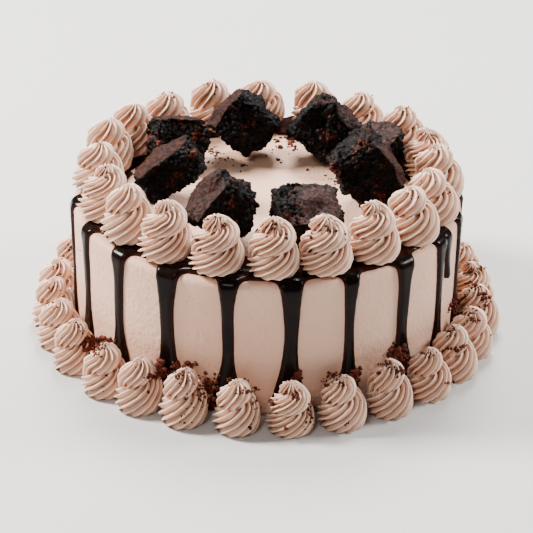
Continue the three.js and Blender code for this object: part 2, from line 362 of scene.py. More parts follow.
class Swirl:
    """A rope of star section laid in a rising coil, counter-clockwise, which closes in a pulled peak.

    Lengths are in millimetres about the middle of the foot. The nozzle never turns, so each ridge winds
    once round the rope for each turn of the coil. The rope's outer side is pressed towards the outline.

    lean: how far the peak lies off the middle.  start: where the rope starts, in degrees.
    turns, close: turns of the coil, and how many of them close it.
    first_top, pitch: height of the first turn's top, and what each further turn adds.
    upper: the upper coil's reach as a share of the foot's.
    fill: how far the rope's outer side is drawn out to the outline.
    crown: how much fuller the outline is near the top.
    full, rise: powers of the closing dome's outline and of its rise.
    twist: how far the section turns as the swirl closes, in degrees."""

    def __init__(self, radius, height, lean, seed, start, turns, close, first_top, pitch, rise, teeth, twist,
                 upper=0.80, fill=0.18, full=2.2, crown=0):
        self.radius, self.height, self.lean, self.seed = radius, height, lean, seed
        self.teeth, self.fill, self.rise, self.full = teeth, fill, rise, full
        self.twist, self.crown = math.radians(twist), crown
        scale = height / STYLE_HEIGHT
        self.first_top, self.pitch = first_top * scale, pitch * scale
        self.start, self.turns, self.close = math.radians(start), turns, close
        self.foot_rope = FOOT_ROPE * radius
        self.foot_coil = radius - self.foot_rope
        self.upper_rope = UPPER_ROPE * radius
        self.upper_coil = upper * radius - self.upper_rope

    def coil(self, u):
        """Coil radius, rope's half width, its middle height and half height after u turns."""
        t = smooth(*NARROWS, u)
        low = (self.first_top + self.pitch * max(0.0, u - 1)) * smooth(*CLIMBS, u)
        high = self.first_top + self.pitch * u
        nub = math.sqrt(min(1.0, NUB_SHARE + u / NUB_TURN))
        half = (high - low) / 2 * OVERLAP
        radius = mix(self.foot_coil, self.upper_coil, t)
        return radius, mix(self.foot_rope, self.upper_rope, t) * nub, high - half, half * nub

    def path(self):
        """Middle of the rope, half width, half height and how far it has closed, from start to peak."""
        steps = int(STEPS_PER_TURN * self.turns)
        closing_from = self.turns - self.close
        coil0, wide0, mid0, half0 = self.coil(closing_from)
        for i in range(steps + 1):
            u = self.turns * i / steps
            f = max(0.0, min(1.0, (u - closing_from) / self.close))
            if f == 0:
                coil, wide, mid, half = self.coil(u)
            else:
                coil = coil0 * (1 - smooth(0, 1, f))
                lift = self.height - mid0
                mid = mid0 + self.pitch * self.close * f * (1 - f) ** 2 + lift * f ** self.rise
                share = min(1.0, (mid - mid0) / lift)
                dome = math.sqrt(max(0.0, 1 - (share / DOME_TOP) ** self.full))
                pulled = PEAK_WIDTH * (1 - share) / (1 - PEAK_FROM) if share > PEAK_FROM else 0.0
                size = max(dome, pulled, TIP_WIDTH)
                wide = wide0 * size
                half = mix(half0, wide0, smooth(0, 0.6, f)) * size
            angle = self.start + 2 * math.pi * u
            yield Vector((coil * math.cos(angle), coil * math.sin(angle), mid)), wide, half, f

    def mesh(self):
        rng = random.Random(self.seed)
        section = [(2 * math.pi * (j + at) / self.teeth,
                    GROOVE_DEPTH * deep * (1 + GROOVE_VARIETY * rng.uniform(-1, 1)))
                   for j in range(self.teeth) for at, deep in TOOTH]
        count = len(section)
        up = Vector((0, 0, 1))
        shift = Vector((self.seed * 7.13, self.seed * 3.7, 0))
        path = list(self.path())
        shares, shares_of_radius = zip(*OUTLINE)
        verts, grooves = [], []
        for i, (middle, wide, half, f) in enumerate(path):
            ahead = (path[min(i + 1, len(path) - 1)][0] - path[max(i - 1, 0)][0]).normalized()
            turn = up.rotation_difference(ahead)
            across, along = turn @ Vector((1, 0, 0)), turn @ Vector((0, 1, 0))
            rise = up - ahead * ahead.z
            flatness = min(1.0, rise.length)
            rise = rise.normalized()
            tall = mix(wide, half, flatness)
            deeper = 1 + GROOVE_DEEPENS * smooth(0.30, 0.85, f)
            for angle, groove in section:
                angle += self.twist * f * f
                way = across * math.cos(angle) + along * math.sin(angle)
                part = way.dot(rise)
                out = (way - rise * part) * wide + rise * (part * tall)
                point = middle + out
                reach = math.hypot(point.x, point.y)
                if reach > 1e-6:
                    share = point.z / self.height
                    goal = self.radius * float(np.interp(share, shares, shares_of_radius))
                    goal *= 1 + self.crown * smooth(0.5, 0.85, share)
                    faces_out = (out.x * point.x + out.y * point.y) / reach / max(out.length, 1e-6)
                    press = PRESS if reach > goal else self.fill * smooth(-0.1, 0.45, faces_out)
                    k = mix(reach, goal, press) / reach
                    point.x, point.y = point.x * k, point.y * k
                point -= out.normalized() * (groove * deeper * min(wide, half * 1.3))
                verts.append(self.settle(point, shift))
                # The groove's depth here. It paints shade down the grooves and light on the crests, and fades
                # out at the peak's tip.
                grooves.append(min(1.0, groove / GROOVE_DEPTH) * smooth(1.0, 0.93, f))
        rows = len(path)
        faces = []
        for i in range(rows - 1):
            row, above = i * count, (i + 1) * count
            for j in range(count):
                k = (j + 1) % count
                faces.append((row + j, row + k, above + k, above + j))
        first, last = len(verts), len(verts) + 1
        verts += [sum(verts[:count], Vector()) / count, Vector((self.lean[0], self.lean[1], self.height))]
        faces += [(first, (j + 1) % count, j) for j in range(count)]
        faces += [(last, (rows - 1) * count + j, (rows - 1) * count + (j + 1) % count) for j in range(count)]
        return verts, faces, grooves + [0.5, 0.0]

    def settle(self, point, shift):
        """A point with the frosting's small unevenness and the swirl's lean, kept above its foot."""
        (broad, far), (fine, near) = UNEVEN
        point = point + (noise.noise_vector(point * broad + shift) * far
                         + noise.noise_vector(point * fine + shift) * near)
        share = max(0.0, point.z / self.height) ** 1.5
        return Vector((point.x + self.lean[0] * share, point.y + self.lean[1] * share, max(0.0, point.z)))


SIZE_VARIETY = 0.03


def swirl_piece(node, index, ring_style):
    """The swirl that stands for a node, in one of its ring's styles."""
    low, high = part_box(node)
    middle = (low + high) / 2 / MM
    base = low.z / MM
    angle = math.atan2(middle.y, middle.x)
    rng = random.Random(ring_style["seed"] + index)
    radius = ring_style["radius"] * (1 + SIZE_VARIETY * rng.uniform(-1, 1))
    height = (high.z - low.z) / MM
    lean_in = ring_style["lean"] + rng.uniform(-1, 1)
    lean = (-lean_in * math.cos(angle), -lean_in * math.sin(angle))
    style = ring_style["style"](math.degrees(angle) % 360, rng)
    swirl = Swirl(radius, height, lean=lean, seed=ring_style["seed"] + index, **style)
    verts, faces, grooves = swirl.mesh()
    centre = Vector((ring_style["ring"] * math.cos(angle), ring_style["ring"] * math.sin(angle), base))
    piece = add_piece(node.replace("swirl", "rosette"), [v + centre for v in verts], faces, PIPED,
                      "piped_frosting", node)
    # The groove depth, which carries the painted light and shade of the ridges.
    add_attribute(piece, "groove", grooves)
    return piece


# The ways the hand closed a swirl: two low coils and a small curl, one coil and a broad dome, or a
# low broad dome alone.
def curled(rng, twist=40):
    return {"start": 155 + rng.uniform(-30, 30), "turns": 2.08 + rng.uniform(-0.06, 0.08),
            "close": rng.uniform(0.52, 0.64), "pitch": 8.8, "first_top": rng.uniform(9.4, 10.6),
            "rise": rng.uniform(1.25, 1.5), "upper": rng.uniform(0.80, 0.86), "teeth": rng.choice((11, 12)),
            "twist": twist}


def domed(rng, twist=40):
    return {"start": 150 + rng.uniform(-30, 30), "turns": rng.uniform(1.70, 1.84),
            "close": rng.uniform(0.56, 0.66), "pitch": 10.4, "first_top": rng.uniform(11.0, 12.2),
            "rise": rng.uniform(1.10, 1.30), "full": 3.0, "crown": 0.15, "upper": rng.uniform(0.76, 0.81),
            "teeth": rng.choice((11, 12)), "twist": twist}


def low_domed(rng):
    return {"start": 160 + rng.uniform(-40, 40), "turns": rng.uniform(1.38, 1.5),
            "close": rng.uniform(0.52, 0.6), "pitch": 11.5, "first_top": 10.5, "rise": 1.05, "full": 4.5,
            "fill": 0.45, "crown": 0.35, "teeth": 11, "twist": 30}


def top_style(azimuth, rng):
    """A top swirl's style by where it stands: front, back and left, right, or between."""
    if 225 < azimuth < 300:
        return curled(rng)
    if 70 < azimuth < 200:
        return (domed if rng.random() < 0.35 else low_domed)(rng)
    if azimuth < 60 or azimuth >= 300:
        return (curled if rng.random() < 0.6 else domed)(rng, twist=rng.uniform(50, 100))
    return (domed if rng.random() < 0.6 else curled)(rng)


def foot_style(azimuth, rng):
    """A foot swirl's style by its side: left, right, or front and back."""
    if 150 < azimuth < 225:
        return (domed if rng.random() < 0.5 else low_domed)(rng)
    if azimuth < 60 or azimuth >= 290:
        return (curled if rng.random() < 0.4 else domed)(rng, twist=rng.uniform(50, 110))
    return (curled if rng.random() < 0.25 else domed)(rng)


# A ring's seed, and in millimetres its own radius, its swirls' radius and how far they lean inwards.
TOP_RING = {"seed": 100, "ring": 89.0, "radius": 13.6, "lean": 2.5, "style": top_style}
FOOT_RING = {"seed": 200, "ring": 114.0, "radius": 12.4, "lean": 1.5, "style": foot_style}


# ---- chocolate glaze ----
# The glaze is a height field on the cake's unrolled surface: outwards over the top, round the rounded
# edge, and down the side. Its sheet is cut where the field of its outline is nought.
GLAZE_FROM = 75.0
FLAT_RUN = CAKE_RADIUS - EDGE_ROUND - GLAZE_FROM
ARC_RUN = EDGE_ROUND * math.pi / 2
SHEET_END = FLAT_RUN + ARC_RUN + CAKE_HEIGHT - EDGE_ROUND - 1.5
# The sheet's rows over the top, round the edge and down the side, and its columns all round. Its ripple
# is worked out on every RIPPLE_STEP-th column, so the columns are a multiple of that.
FLAT_ROWS, EDGE_ROWS, DRIP_ROWS = 27, 11, 78
RIPPLE_STEP = 8
GLAZE_COLUMNS = 98 * RIPPLE_STEP
RIPPLE, RIPPLE_PASSES = 0.16, 8
# In millimetres: how thick the ring is, how far the sheet's underside lies in the frosting, how far in
# from its outline the sheet reaches its thickness, and how far the outline itself is rounded under.
RING_THICK, GLAZE_UNDER = 1.35, 0.6
RIM_WIDTH, RIM_UNDER = 2.4, 0.35
# The ring's inner and outer line: the run where each lies, and how far it sways.
INNER_LINE, OUTER_LINE = (2.2, 1.5), (FLAT_RUN - 0.6, 1.3)
# An uneven line's waves: how many go round the cake, and how high they are against each other.
WAVES = ((3, 1.0), (5, 0.8), (8, 0.7), (13, 0.5), (21, 0.35), (34, 0.2))

# Drips are told apart on the side above this height, by this gap in degrees.
DRIPS_ABOVE, DRIP_GAP = 30, 1.5
# A drip with its foot lower than this has run behind the foot swirls. It ends just over the board.
FOOT_HIDDEN, DRIP_END = 10, 2.2
# How softly drips and ring run together, in millimetres.
DRIP_BLEND = 4.2
# A drip's half width against its narrowest, by the run below the start of the rounded edge.
DRIP_WIDTHS = [(-9, 2.9), (-3, 2.3), (1.5, 1.95), (5, 1.62), (9, 1.38), (15, 1.18), (23, 1.06), (36, 1.0),
               (90, 1.0)]
# How much wider it is by its height over the board, where it has run all the way down.
DRIP_FLARE = [(4, 2.6), (12, 2.25), (18, 1.85), (23, 1.45), (28, 1.18), (34, 1.03), (38, 1.0)]
# A drip's thickness in millimetres by the same run as its width, where it is about 7 wide.
DRIP_THICK = [(-6, 1.35), (0, 1.7), (4, 2.0), (12, 1.75), (40, 1.45), (70, 1.6)]


def surface_point(angle, run, rise):
    """Points in millimetres at an angle and a run over the cake's surface, raised along its normal."""
    turn = np.clip((run - FLAT_RUN) / EDGE_ROUND, 0, math.pi / 2)
    drop = np.maximum(run - FLAT_RUN - ARC_RUN, 0)
    r = GLAZE_FROM + np.minimum(run, FLAT_RUN) + (EDGE_ROUND + rise) * np.sin(turn)
    z = CAKE_HEIGHT - EDGE_ROUND + (EDGE_ROUND + rise) * np.cos(turn) - drop
    return np.stack([r * np.cos(angle), r * np.sin(angle), z], -1)


def drip_facts():
    """Angle, half width and foot height of each drip, read from the glaze node's own outline."""
    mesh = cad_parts["chocolate_glaze"].data
    points = np.array([v.co for v in mesh.vertices]) / MM
    angle = np.degrees(np.arctan2(points[:, 1], points[:, 0])) % 360
    outside = np.hypot(points[:, 0], points[:, 1]) > CAKE_RADIUS
    side = outside & (points[:, 2] > DRIPS_ABOVE) & (points[:, 2] < CAKE_HEIGHT - EDGE_ROUND - 0.5)
    order = np.argsort(angle[side])
    angles, heights = angle[side][order], points[side][order][:, 2]
    cuts = np.where(np.diff(angles) > DRIP_GAP)[0] + 1
    facts = []
    for some, z in zip(np.split(angles, cuts), np.split(heights, cuts)):
        middle = (some.min() + some.max()) / 2
        foot = points[outside & (np.abs(angle - middle) < 1.0)][:, 2].min()
        lower = z < (foot + CAKE_HEIGHT) / 2 + 6
        width = np.ptp(some[lower]) if lower.any() else np.ptp(some) / 1.3
        facts.append((math.radians(middle), math.radians(width) * CAKE_RADIUS / 2, foot))
    return facts


def smooth_union(a, b, k):
    """The greater of two fields, with the crease between them filled over k."""
    h = np.clip(0.5 + 0.5 * (a - b) / k, 0, 1)
    return b + (a - b) * h + k * h * (1 - h)


def waves(angle, seed):
    """An uneven closed line round the cake, between about -1 and 1."""
    rng = random.Random(seed)
    return sum(size * np.sin(n * angle + rng.uniform(0, FULL_PHASE)) for n, size in WAVES) / 2


def glaze_fields():
    """Angle and run of the sheet's grid, how far each point lies inside the outline, and the thickness."""
    angle = np.linspace(0, 2 * math.pi, GLAZE_COLUMNS, endpoint=False)
    flat = np.linspace(0, FLAT_RUN, FLAT_ROWS)
    arc = np.linspace(FLAT_RUN, FLAT_RUN + ARC_RUN, EDGE_ROWS)[1:]
    side = np.linspace(FLAT_RUN + ARC_RUN, SHEET_END, DRIP_ROWS)[1:]
    run = np.concatenate([flat, arc, side])
    a, q = np.meshgrid(angle, run)
    below = q - FLAT_RUN
    height = CAKE_HEIGHT - EDGE_ROUND - np.maximum(q - FLAT_RUN - ARC_RUN, 0)
    inner = INNER_LINE[0] + INNER_LINE[1] * waves(a, 5)
    outer = OUTER_LINE[0] + OUTER_LINE[1] * waves(a, 6)
    field = np.minimum(q - inner, outer - q)
    thick = np.full_like(field, RING_THICK)
    for i, (middle, half, foot) in enumerate(drip_facts()):
        rng = random.Random(300 + i)
        lean, phase = rng.uniform(-0.5, 0.5), rng.uniform(0, FULL_PHASE)
        wander = 0.30 * np.sin(q * 0.11 + phase) + lean * np.clip(below / 60, 0, 1)
        across = ((a - middle + math.pi) % (2 * math.pi) - math.pi) * CAKE_RADIUS - wander
        half_width = half * np.interp(below, *zip(*DRIP_WIDTHS))
        half_width *= 1 + 0.035 * np.sin(q * 0.23 + phase * 2)
        if foot < FOOT_HIDDEN:
            half_width *= np.interp(height, *zip(*DRIP_FLARE))
            drip = np.minimum(half_width - np.abs(across), height - DRIP_END)
            bead = 0.0
        else:
            ball = half * 1.12
            over = np.maximum(foot + ball - height, 0)
            round_end = np.sqrt(np.maximum((half_width * 1.1) ** 2 - over ** 2, 0))
            round_end = round_end - np.maximum(over - ball, 0)
            drip = np.where(over > 0, round_end, half_width) - np.abs(across)
            bead = 0.9 * np.exp(-((height - foot - ball) / 5) ** 2)
        slim = np.clip(half / 3.4, 0.8, 1.15)
        body = slim * np.interp(below, *zip(*DRIP_THICK)) + bead
        near = np.clip(0.5 + (drip + 2.5) / 4, 0, 1)
        thick = thick + (body - thick) * near * (below > -9)
        field = np.where(np.abs(across) < 40, smooth_union(field, drip, DRIP_BLEND), field)
    ripple = np.array([[noise.noise(Vector((math.cos(x) * 11, math.sin(x) * 11, y * 0.07)))
                        for x in angle[::RIPPLE_STEP]] for y in run])
    ripple = np.repeat(ripple, RIPPLE_STEP, axis=1)
    for _ in range(RIPPLE_PASSES):
        ripple = (np.roll(ripple, 1, 1) + ripple * 2 + np.roll(ripple, -1, 1)) / 4
    return a, q, field, thick * (1 + RIPPLE * ripple)


def glaze_piece():
    """The sheet cut along its outline, with its underside and a wall that joins the two."""
    a, q, field, thick = glaze_fields()
    rows, columns = field.shape
    verts, rims, tops, faces, edges, known = [], [], [], [], [], {}

    def height_of(d, t):
        rim = min(1.0, max(0.0, d) / RIM_WIDTH)
        return t * (1 - (1 - rim) ** 2) ** 0.62 - 0.5 * (1 - min(1.0, max(0.0, d) / RIM_UNDER))

    def grid_vertex(i, j):
        key = (i, j % columns)
        if key not in known:
            known[key] = len(verts)
            verts.append((a[key], q[key], height_of(field[key], thick[key])))
            rims.append(max(0.0, 1 - field[key] / 1.1))
            tops.append(smooth(FLAT_RUN + 1, FLAT_RUN - 1.5, q[key]))
        return known[key]

    def cut_vertex(i, j, k, m):
        first, second = sorted(((i, j % columns), (k, m % columns)))
        key = (first, second)
        if key not in known:
            f0, f1 = field[first], field[second]
            t = f0 / (f0 - f1)
            turn = (a[second] - a[first] + math.pi) % (2 * math.pi) - math.pi
            known[key] = len(verts)
            verts.append((a[first] + turn * t, mix(q[first], q[second], t), height_of(0, 1)))
            rims.append(1.0)
            tops.append(0.0)
        return known[key]

    inside = field > 0
    count = inside[:-1].astype(int) + inside[1:] + np.roll(inside, -1, 1)[:-1] + np.roll(inside, -1, 1)[1:]
    for i, j in zip(*np.nonzero(count)):
        corners = [(i, j), (i, j + 1), (i + 1, j + 1), (i + 1, j)]
        held = [inside[r, c % columns] for r, c in corners]
        polygon, cuts = [], []
        for n in range(4):
            here, there = corners[n], corners[(n + 1) % 4]
            if held[n]:
                polygon.append(grid_vertex(*here))
            if held[n] != held[(n + 1) % 4]:
                polygon.append(cut_vertex(*here, *there))
                cuts.append((polygon[-1], held[n]))
        # A cell held at two opposite corners only is left open.
        if held[0] == held[2] and held[1] == held[3] and held[0] != held[1]:
            continue
        faces.append(tuple(reversed(polygon)))
        if len(cuts) == 2:
            leaving = cuts[0][0] if cuts[0][1] else cuts[1][0]
            entering = cuts[1][0] if cuts[0][1] else cuts[0][0]
            edges.append((leaving, entering))
    count_top = len(verts)
    data = np.array(verts)
    top = surface_point(data[:, 0], data[:, 1], data[:, 2])
    under = surface_point(data[:, 0], data[:, 1], np.full(count_top, -GLAZE_UNDER))
    back = [tuple(count_top + v for v in reversed(face)) for face in faces]
    wall = [(e, s, s + count_top, e + count_top) for s, e in edges]
    piece = add_piece("glaze_and_drips", np.concatenate([top, under]).tolist(), faces + back + wall, GLAZE,
                      "chocolate_glaze", "chocolate_glaze")
    add_attribute(piece, "rim", rims * 2)
    add_attribute(piece, "top", tops * 2)
    return piece


# ---- brownie chunks ----
# For each chunk, the face that was the baked top: the way it faces and the least agreement with that way
# that still counts as crust. Then how red the chunk's crumb is, and how ruddy its crust.
CRUSTS = {
    "brownie_1": ((-0.75, 0.05, 0.66), 0.80, 0.26, 0.85),
    "brownie_2": ((0.63, 0.05, 0.78), 0.97, 0.42, 0.6),
    "brownie_3": ((0.04, 0.41, 0.91), 0.84, 0.80, 0.95),
    "brownie_4": ((-0.56, 0.03, 0.83), 0.74, 0.42, 0.9),
    "brownie_5": ((-0.72, -0.26, 0.64), 0.80, 0.22, 0.45),
    "brownie_6": ((0.12, -0.36, 0.93), 0.84, 0.55, 0.25),
    "brownie_7": ((0.83, 0.05, 0.56), 0.86, 0.75, 0.5),
    "brownie_8": ((-0.09, -0.30, 0.95), 0.74, 0.60, 0.1),
}
# Crusts that are partly broken away: the way towards what is left, and from how far off the middle.
TORN = {
    "brownie_6": ((1.0, 0.0, 0.0), -4.0),
    "brownie_7": ((0.85, -0.45, -0.25), 3.0),
    "brownie_4": ((-0.4, 0.3, 0.9), -6.0),
}
# Corners that stand out as a broken shard: the way each points, how far and how broad.
SHARDS = {
    "brownie_1": ((-0.15, 0.0, 1.0), 2.5, 6.0),
    "brownie_2": ((0.45, -0.2, 0.9), 5.0, 7.0),
    "brownie_4": ((0.20, 0.1, 1.0), 3.0, 7.0),
    "brownie_7": ((-0.25, 0.3, 1.0), 3.0, 7.0),
}
CHUNK_VOXEL = 0.00063
# How many hollows are broken out of a chunk's corners, how far off the corner, how wide and how deep.
HOLLOWS, HOLLOW_OFF, HOLLOW_WIDE, HOLLOW_DEEP = 12, 4, (2.5, 6.5), (1.2, 3.2)
# The relief is set back by this much, and fades to a share of itself at the chunk's foot.
SET_BACK, FOOT_RELIEF, FOOT_FADE = 0.4, 0.15, 1.5


def remeshed(node):
    """The node's solid as even small faces: points in millimetres, their normals, and polygons."""
    work = bpy.data.objects.new("work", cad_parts[node].data.copy())
    bpy.context.scene.collection.objects.link(work)
    remesh = work.modifiers.new("even", "REMESH")
    remesh.mode, remesh.voxel_size = "VOXEL", CHUNK_VOXEL
    made = work.evaluated_get(bpy.context.evaluated_depsgraph_get()).to_mesh()
    points = np.array([v.co for v in made.vertices]) / MM
    normals = np.array([v.normal for v in made.vertices])
    faces = [tuple(p.vertices) for p in made.polygons]
    bare = work.data
    bpy.data.objects.remove(work)
    bpy.data.meshes.remove(bare)
    return points, normals, faces


def brownie_piece(node, index):
    """A node's block with broken crumb, a crust where its top was, and a shard where it has one."""
    points, normals, faces = remeshed(node)
    facing, spread, redness, ruddiness = CRUSTS[node]
    facing = np.array(facing) / np.linalg.norm(facing)
    low, high = points.min(0), points.max(0)
    middle = (low + high) / 2
    reach = points - middle
    rng = random.Random(400 + index)
    shift = Vector((index * 17.3, index * 5.1, 3.0))
    hollows = []
    for _ in range(HOLLOWS):
        way = np.array([rng.gauss(0, 1) for _ in range(3)])
        way[2] = abs(way[2])
        at = points[np.argmax(reach @ way)]
        off = np.array([rng.uniform(-HOLLOW_OFF, HOLLOW_OFF) for _ in range(3)])
        hollows.append((at + off, rng.uniform(*HOLLOW_WIDE), rng.uniform(*HOLLOW_DEEP)))
    way, long, broad = SHARDS.get(node, ((0, 0, 1), 0.0, 1.0))
    way = np.array(way) / np.linalg.norm(way)
    tip = points[np.argmax(points @ way)]
    left, torn_from = TORN.get(node, ((0, 0, 1), -99.0))
    along = reach @ (np.array(left) / np.linalg.norm(left))
    made, crust, rust = [], [], []
    for p, n, beyond in zip(points, normals, along - torn_from):
        v = Vector(p)
        swell = noise.noise(v * 0.13 + shift)
        crag = noise.noise(v * 0.34 + shift)
        cells = noise.voronoi(v * 0.42 + shift)[0]
        crumb = 0.55 - min(1.0, cells[0] * 1.25)
        crevice = 1 - smooth(0.0, 0.16, cells[1] - cells[0])
        grain = noise.noise(v * 1.25 + shift)
        pit = smooth(0.30, 0.55, noise.noise(v * 0.62 + shift * 2))
        lies = float(n @ facing)
        edge = 0.16 * noise.noise(v * 0.22 + shift * 3) + 0.14 * noise.noise(v * 0.8 + shift * 7)
        untorn = smooth(-0.8, 0.8, beyond + 4 * crag + 1.5 * crumb)
        skin = smooth(spread - 0.05, spread + 0.05, lies + edge) * untorn
        big = noise.noise(v * 0.085 + shift * 3)
        rough = 2.4 * big + 1.8 * swell + 1.4 * crag + 1.0 * crumb - 0.9 * crevice + 0.30 * grain - 1.9 * pit
        fold = abs(noise.noise(v * 0.30 + shift * 5))
        baked = 1.6 * big + 1.2 * swell + 0.9 * (0.3 - fold) + 0.16 * grain
        push = mix(rough, baked, skin)
        for at, size, deep in hollows:
            gone = np.linalg.norm(p - at) / size
            if gone < 1:
                push -= deep * (1 - gone * gone) ** 2 * (1 - 0.6 * skin)
        foot = smooth(low[2], low[2] + FOOT_FADE, p[2])
        moved = p + n * (push - SET_BACK) * mix(FOOT_RELIEF, 1, foot)
        near = np.linalg.norm(p - tip) / broad
        if long and near < 1:
            moved = moved + way * (long * (1 - near * near) ** 2)
        moved[2] = max(moved[2], low[2])
        made.append(moved)
        crust.append(skin)
        fleck = 0.8 * noise.noise(v * 0.13 + shift * 4) + 0.8 * noise.noise(v * 0.8 + shift * 6) + 0.3 * crumb
        rust.append(smooth(0.60 - 0.4 * redness, 0.78 - 0.4 * redness, fleck))
    piece = add_piece(node.replace("brownie", "brownie_chunk"), made, faces, BROWNIE, "brownie", node)
    add_attribute(piece, "crust", crust)
    add_attribute(piece, "rust", rust)
    add_attribute(piece, "ruddiness", [ruddiness] * len(made))
    return piece


# ---- crumbs ----
# Where the photograph shows crumbs, as places in its frame and not as what it holds there: the middle and
# the spread in pixels, how many crumbs, and their radius in millimetres. Each lies on whatever the camera
# sees there.
CRUMB_PLACES = [
    (216, 155, 4, 4, 26, 0.5), (211, 150, 3, 3, 14, 0.5), (224, 154, 0, 0, 1, 0.5),
    (229, 157, 1, 1, 3, 0.55), (232, 161, 1, 1, 2, 0.8), (226, 160, 1, 1, 3, 0.5), (233, 166, 0, 0, 1, 0.6),
    (243, 166, 1, 0, 2, 0.8), (247, 166, 0, 0, 1, 0.7), (241, 172, 0, 0, 1, 0.55), (241, 161, 0, 0, 1, 0.5),
    (254, 161, 0, 0, 1, 0.4), (213, 163, 1, 1, 3, 0.45), (208, 163, 2, 1, 4, 0.5), (219, 163, 1, 0, 2, 0.5),
    (229, 152, 1, 0, 1, 0.45), (222, 158, 3, 2, 6, 0.4), (267, 156, 0, 0, 1, 0.6), (272, 153, 0, 0, 1, 0.45),
    (273, 150, 1, 0, 2, 0.5), (277, 147, 1, 1, 3, 0.6), (280, 148, 0, 0, 2, 0.95), (278, 160, 0, 0, 1, 0.85),
    (280, 163, 1, 0, 2, 0.6), (283, 161, 0, 0, 1, 0.4), (289, 154, 0, 0, 1, 0.55), (290, 143, 3, 3, 30, 0.7),
    (282, 138, 3, 1, 7, 0.55), (295, 150, 2, 1, 7, 0.6), (277, 141, 2, 2, 8, 0.7), (307, 170, 0, 0, 1, 0.6),
    (333, 170, 1, 0, 2, 0.95), (335, 173, 0, 0, 1, 0.6), (332, 167, 1, 0, 2, 0.5), (338, 166, 0, 0, 1, 0.6),
    (340, 172, 1, 1, 3, 0.6), (337, 180, 2, 4, 16, 0.6), (330, 179, 1, 0, 2, 0.5), (326, 176, 2, 1, 3, 0.35),
    (323, 180, 0, 0, 1, 0.35), (90, 341, 4, 3, 46, 0.95), (88, 349, 3, 2, 30, 0.8),
    (104, 338, 4, 1, 22, 0.85), (98, 346, 5, 3, 34, 0.5), (95, 353, 4, 2, 22, 0.5),
    (112, 340, 4, 1, 12, 0.6), (106, 375, 1, 1, 3, 0.6), (104, 384, 2, 6, 5, 0.4), (160, 368, 3, 5, 46, 1.0),
    (156, 376, 4, 2, 26, 0.7), (148, 377, 2, 1, 10, 0.6), (161, 361, 3, 2, 12, 0.6),
    (148, 392, 1, 1, 3, 0.6), (176, 365, 3, 2, 16, 0.8), (190, 364, 4, 2, 16, 0.8),
    (178, 374, 7, 3, 40, 0.55), (185, 379, 5, 3, 18, 0.45), (203, 394, 3, 10, 44, 0.5),
    (209, 384, 5, 5, 44, 0.9), (211, 402, 2, 6, 30, 0.9), (190, 400, 5, 12, 10, 0.4),
    (184, 420, 4, 5, 5, 0.55), (229, 379, 2, 1, 10, 0.6), (247, 391, 4, 2, 16, 0.6),
    (238, 393, 2, 2, 7, 0.55), (256, 402, 3, 8, 14, 0.5), (250, 426, 2, 2, 7, 0.6), (259, 438, 2, 1, 4, 0.6),
    (244, 381, 4, 2, 8, 0.4), (296, 375, 3, 3, 22, 0.9), (273, 402, 3, 2, 22, 0.6),
    (287, 393, 3, 1, 12, 0.6), (295, 396, 3, 3, 22, 0.6), (311, 411, 3, 5, 10, 0.6),
    (285, 428, 1, 1, 5, 0.6), (304, 425, 2, 2, 3, 0.5), (331, 378, 5, 4, 40, 0.5), (341, 384, 3, 2, 14, 0.6),
    (328, 385, 2, 1, 9, 0.6), (335, 375, 7, 3, 16, 0.4), (347, 425, 2, 2, 5, 0.5),
    (356, 372, 3, 4, 40, 0.95), (380, 364, 4, 1, 12, 0.5), (389, 365, 4, 3, 16, 0.5),
    (378, 373, 2, 1, 10, 0.6), (396, 372, 4, 4, 10, 0.5), (401, 372, 2, 2, 16, 0.8),
    (396, 353, 5, 4, 54, 1.0), (405, 360, 3, 5, 32, 0.9), (385, 355, 1, 0, 1, 0.6), (394, 345, 0, 0, 1, 0.6),
    (430, 355, 5, 3, 14, 0.5), (422, 353, 2, 1, 4, 0.5), (448, 349, 2, 1, 8, 0.6), (457, 349, 3, 2, 12, 0.7),
    (441, 352, 2, 1, 6, 0.5), (465, 345, 2, 2, 6, 0.6), (452, 334, 3, 3, 10, 0.5), (450, 383, 4, 1, 6, 0.6),
    (452, 305, 3, 3, 22, 0.8), (461, 313, 7, 1, 18, 0.5), (476, 320, 4, 2, 14, 0.6),
    (466, 324, 2, 2, 6, 0.5), (470, 285, 3, 3, 14, 0.6), (478, 288, 4, 2, 14, 0.6),
    (484, 297, 4, 4, 26, 0.8), (464, 297, 5, 3, 10, 0.5), (476, 310, 2, 3, 8, 0.7),
    (480, 262, 5, 5, 18, 0.6), (474, 272, 5, 4, 16, 0.6), (197, 240, 1, 1, 3, 1.0),
    (213, 233, 3, 1, 9, 0.55), (224, 225, 1, 2, 10, 0.65), (207, 219, 3, 1, 5, 0.5),
    (218, 218, 3, 1, 6, 0.5), (272, 224, 3, 2, 9, 0.6), (275, 229, 3, 1, 10, 0.6), (258, 231, 2, 1, 6, 0.5),
    (287, 238, 1, 2, 6, 0.6), (263, 226, 3, 2, 5, 0.4), (330, 231, 4, 1, 12, 0.65),
    (311, 236, 2, 2, 10, 0.55), (321, 226, 4, 1, 7, 0.4), (309, 251, 1, 0, 4, 0.6),
    (345, 240, 1, 6, 5, 0.35), (70, 247, 5, 3, 14, 0.55), (59, 268, 4, 3, 12, 0.55),
    (55, 288, 4, 3, 10, 0.5), (53, 306, 4, 3, 8, 0.5), (80, 330, 4, 3, 8, 0.45),
]
# Behind the chunks at the back the crumbs are mostly dark: that place in pixels.
DARK_X, DARK_Y = (220, 290), 175
# How rust-red crumbs are there, elsewhere and on the swirls, and how much that varies.
DARK_TONE, RED_TONE, SWIRL_TONE, TONE_SPREAD = 0.25, 0.75, 0.7, 0.35
CRUMB_SIZES = (0.65, 1.45)
FINE_FROM = 0.8
